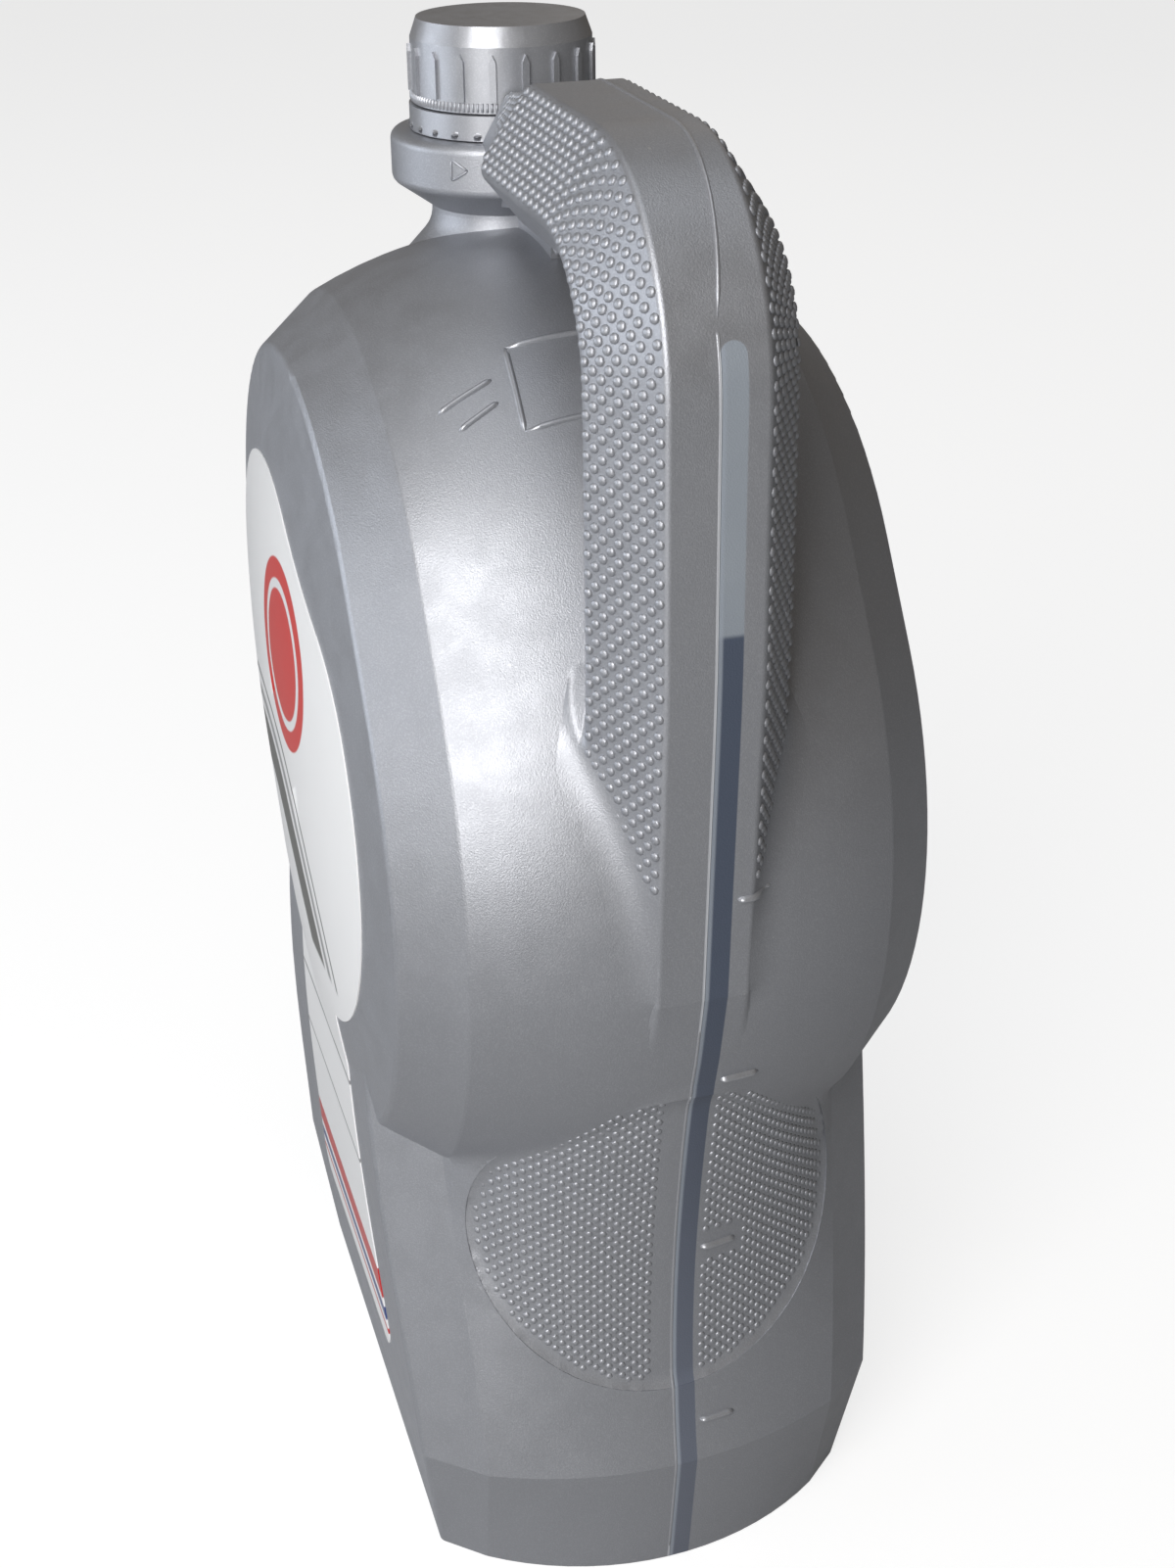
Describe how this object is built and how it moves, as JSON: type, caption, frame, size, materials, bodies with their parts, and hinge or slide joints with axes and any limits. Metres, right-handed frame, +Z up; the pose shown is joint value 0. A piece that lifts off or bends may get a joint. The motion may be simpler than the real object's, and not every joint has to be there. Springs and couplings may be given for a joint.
{
  "type": "motor oil bottle",
  "caption": "Large blow-moulded motor oil bottle with a loop handle, faceted round shoulder, level strip, front label, screw cap, tamper ring and oil inside.",
  "frame": {"origin": "on the floor under the middle of the bottle's base", "axes": "+Z up, -Y out of the front label, +X towards the handle"},
  "size_m": [0.2173, 0.1293, 0.3387],
  "materials": {
    "bottle_plastic": "pearlescent silver-grey satin polyethylene with a fine orange-peel grain",
    "cap_plastic": "silver-grey moulded polypropylene, smooth and glossier than the bottle",
    "label_film": null,
    "liner_foam": "pale foamed sealing disc",
    "oil": "clear amber liquid"
  },
  "bodies": {
    "bottle": {"bottle_body": "bottle_plastic", "tamper_ring": "cap_plastic", "front_label": "label_film", "oil_fill": "oil"},
    "liner": {"cap_liner": "liner_foam"},
    "cap": {"screw_cap": "cap_plastic"}
  },
  "joints": [
    {"name": "cap_lift", "type": "slide", "parent": "bottle", "child": "liner", "axis": [0, 0, 1], "range_m": [0, 0.0125]},
    {"name": "cap_turn", "type": "hinge", "parent": "liner", "child": "cap", "pos_m": [-0.035, 0, 0.33], "axis": [0, 0, 1], "range_deg": [0, 900]}
  ],
  "couplings": [
    {"joint": "cap_lift", "follows": "cap_turn", "m_per_rad": 0.00079577}
  ]
}
